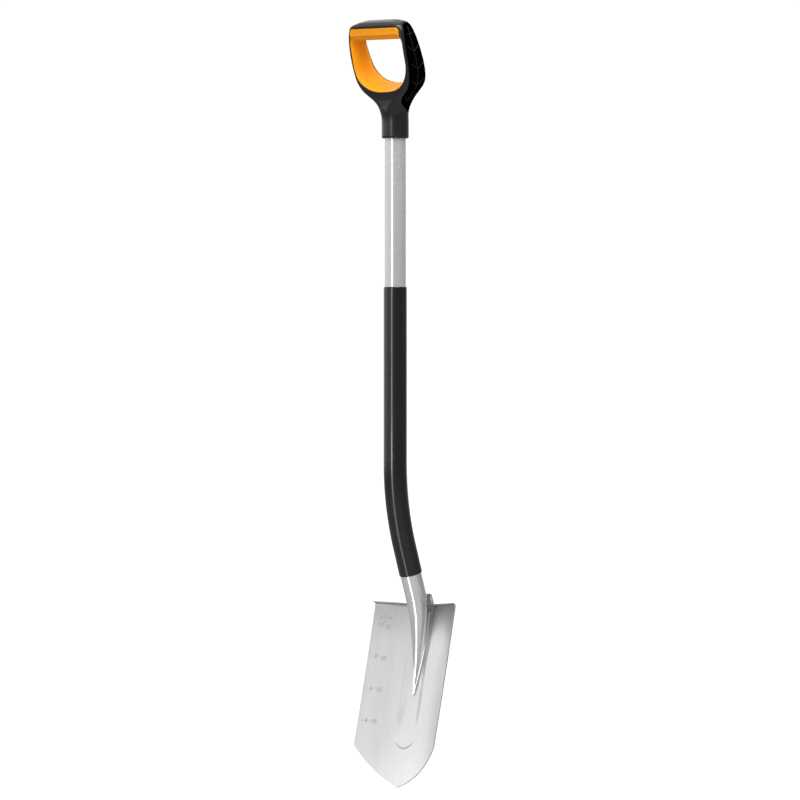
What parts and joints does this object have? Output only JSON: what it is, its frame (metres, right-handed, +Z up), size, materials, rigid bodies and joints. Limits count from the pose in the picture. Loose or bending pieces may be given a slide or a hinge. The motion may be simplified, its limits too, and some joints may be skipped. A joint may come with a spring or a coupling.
{
  "type": "pointed digging shovel",
  "caption": "Long-handled pointed digging shovel with a curved steel blade, a bent tube shaft with a grip sleeve and a D-shaped hand grip.",
  "frame": {"origin": "middle of the crossbar's underside, where a hook or hand would carry the shovel", "axes": "+Z up along the straight part of the shaft, -Y the way the blade's hollow face looks, +X to the right seen from the hollow face"},
  "size_m": [0.176, 0.1246, 1.1903],
  "materials": {
    "blade_steel": "clear lacquered sheet steel, fine satin",
    "shaft_paint": "silver powder coat, semi-gloss",
    "weld_steel": "ground weld bead",
    "sleeve_plastic": "black extruded plastic, semi-gloss",
    "shell_plastic": "black moulded nylon, satin",
    "soft_grip": "orange soft-touch elastomer",
    "panel_rubber": "black ribbed elastomer, matt",
    "screw_steel": "zinc plated"
  },
  "bodies": {
    "root": {"blade": "blade_steel", "shaft_tube": "shaft_paint", "weld_seam_left": "weld_steel", "weld_seam_right": "weld_steel", "grip_sleeve": "sleeve_plastic", "handle_shell": "shell_plastic", "grip_lining": "soft_grip", "side_panel_left": "panel_rubber", "side_panel_right": "panel_rubber", "handle_screw": "screw_steel"}
  },
  "joints": []
}
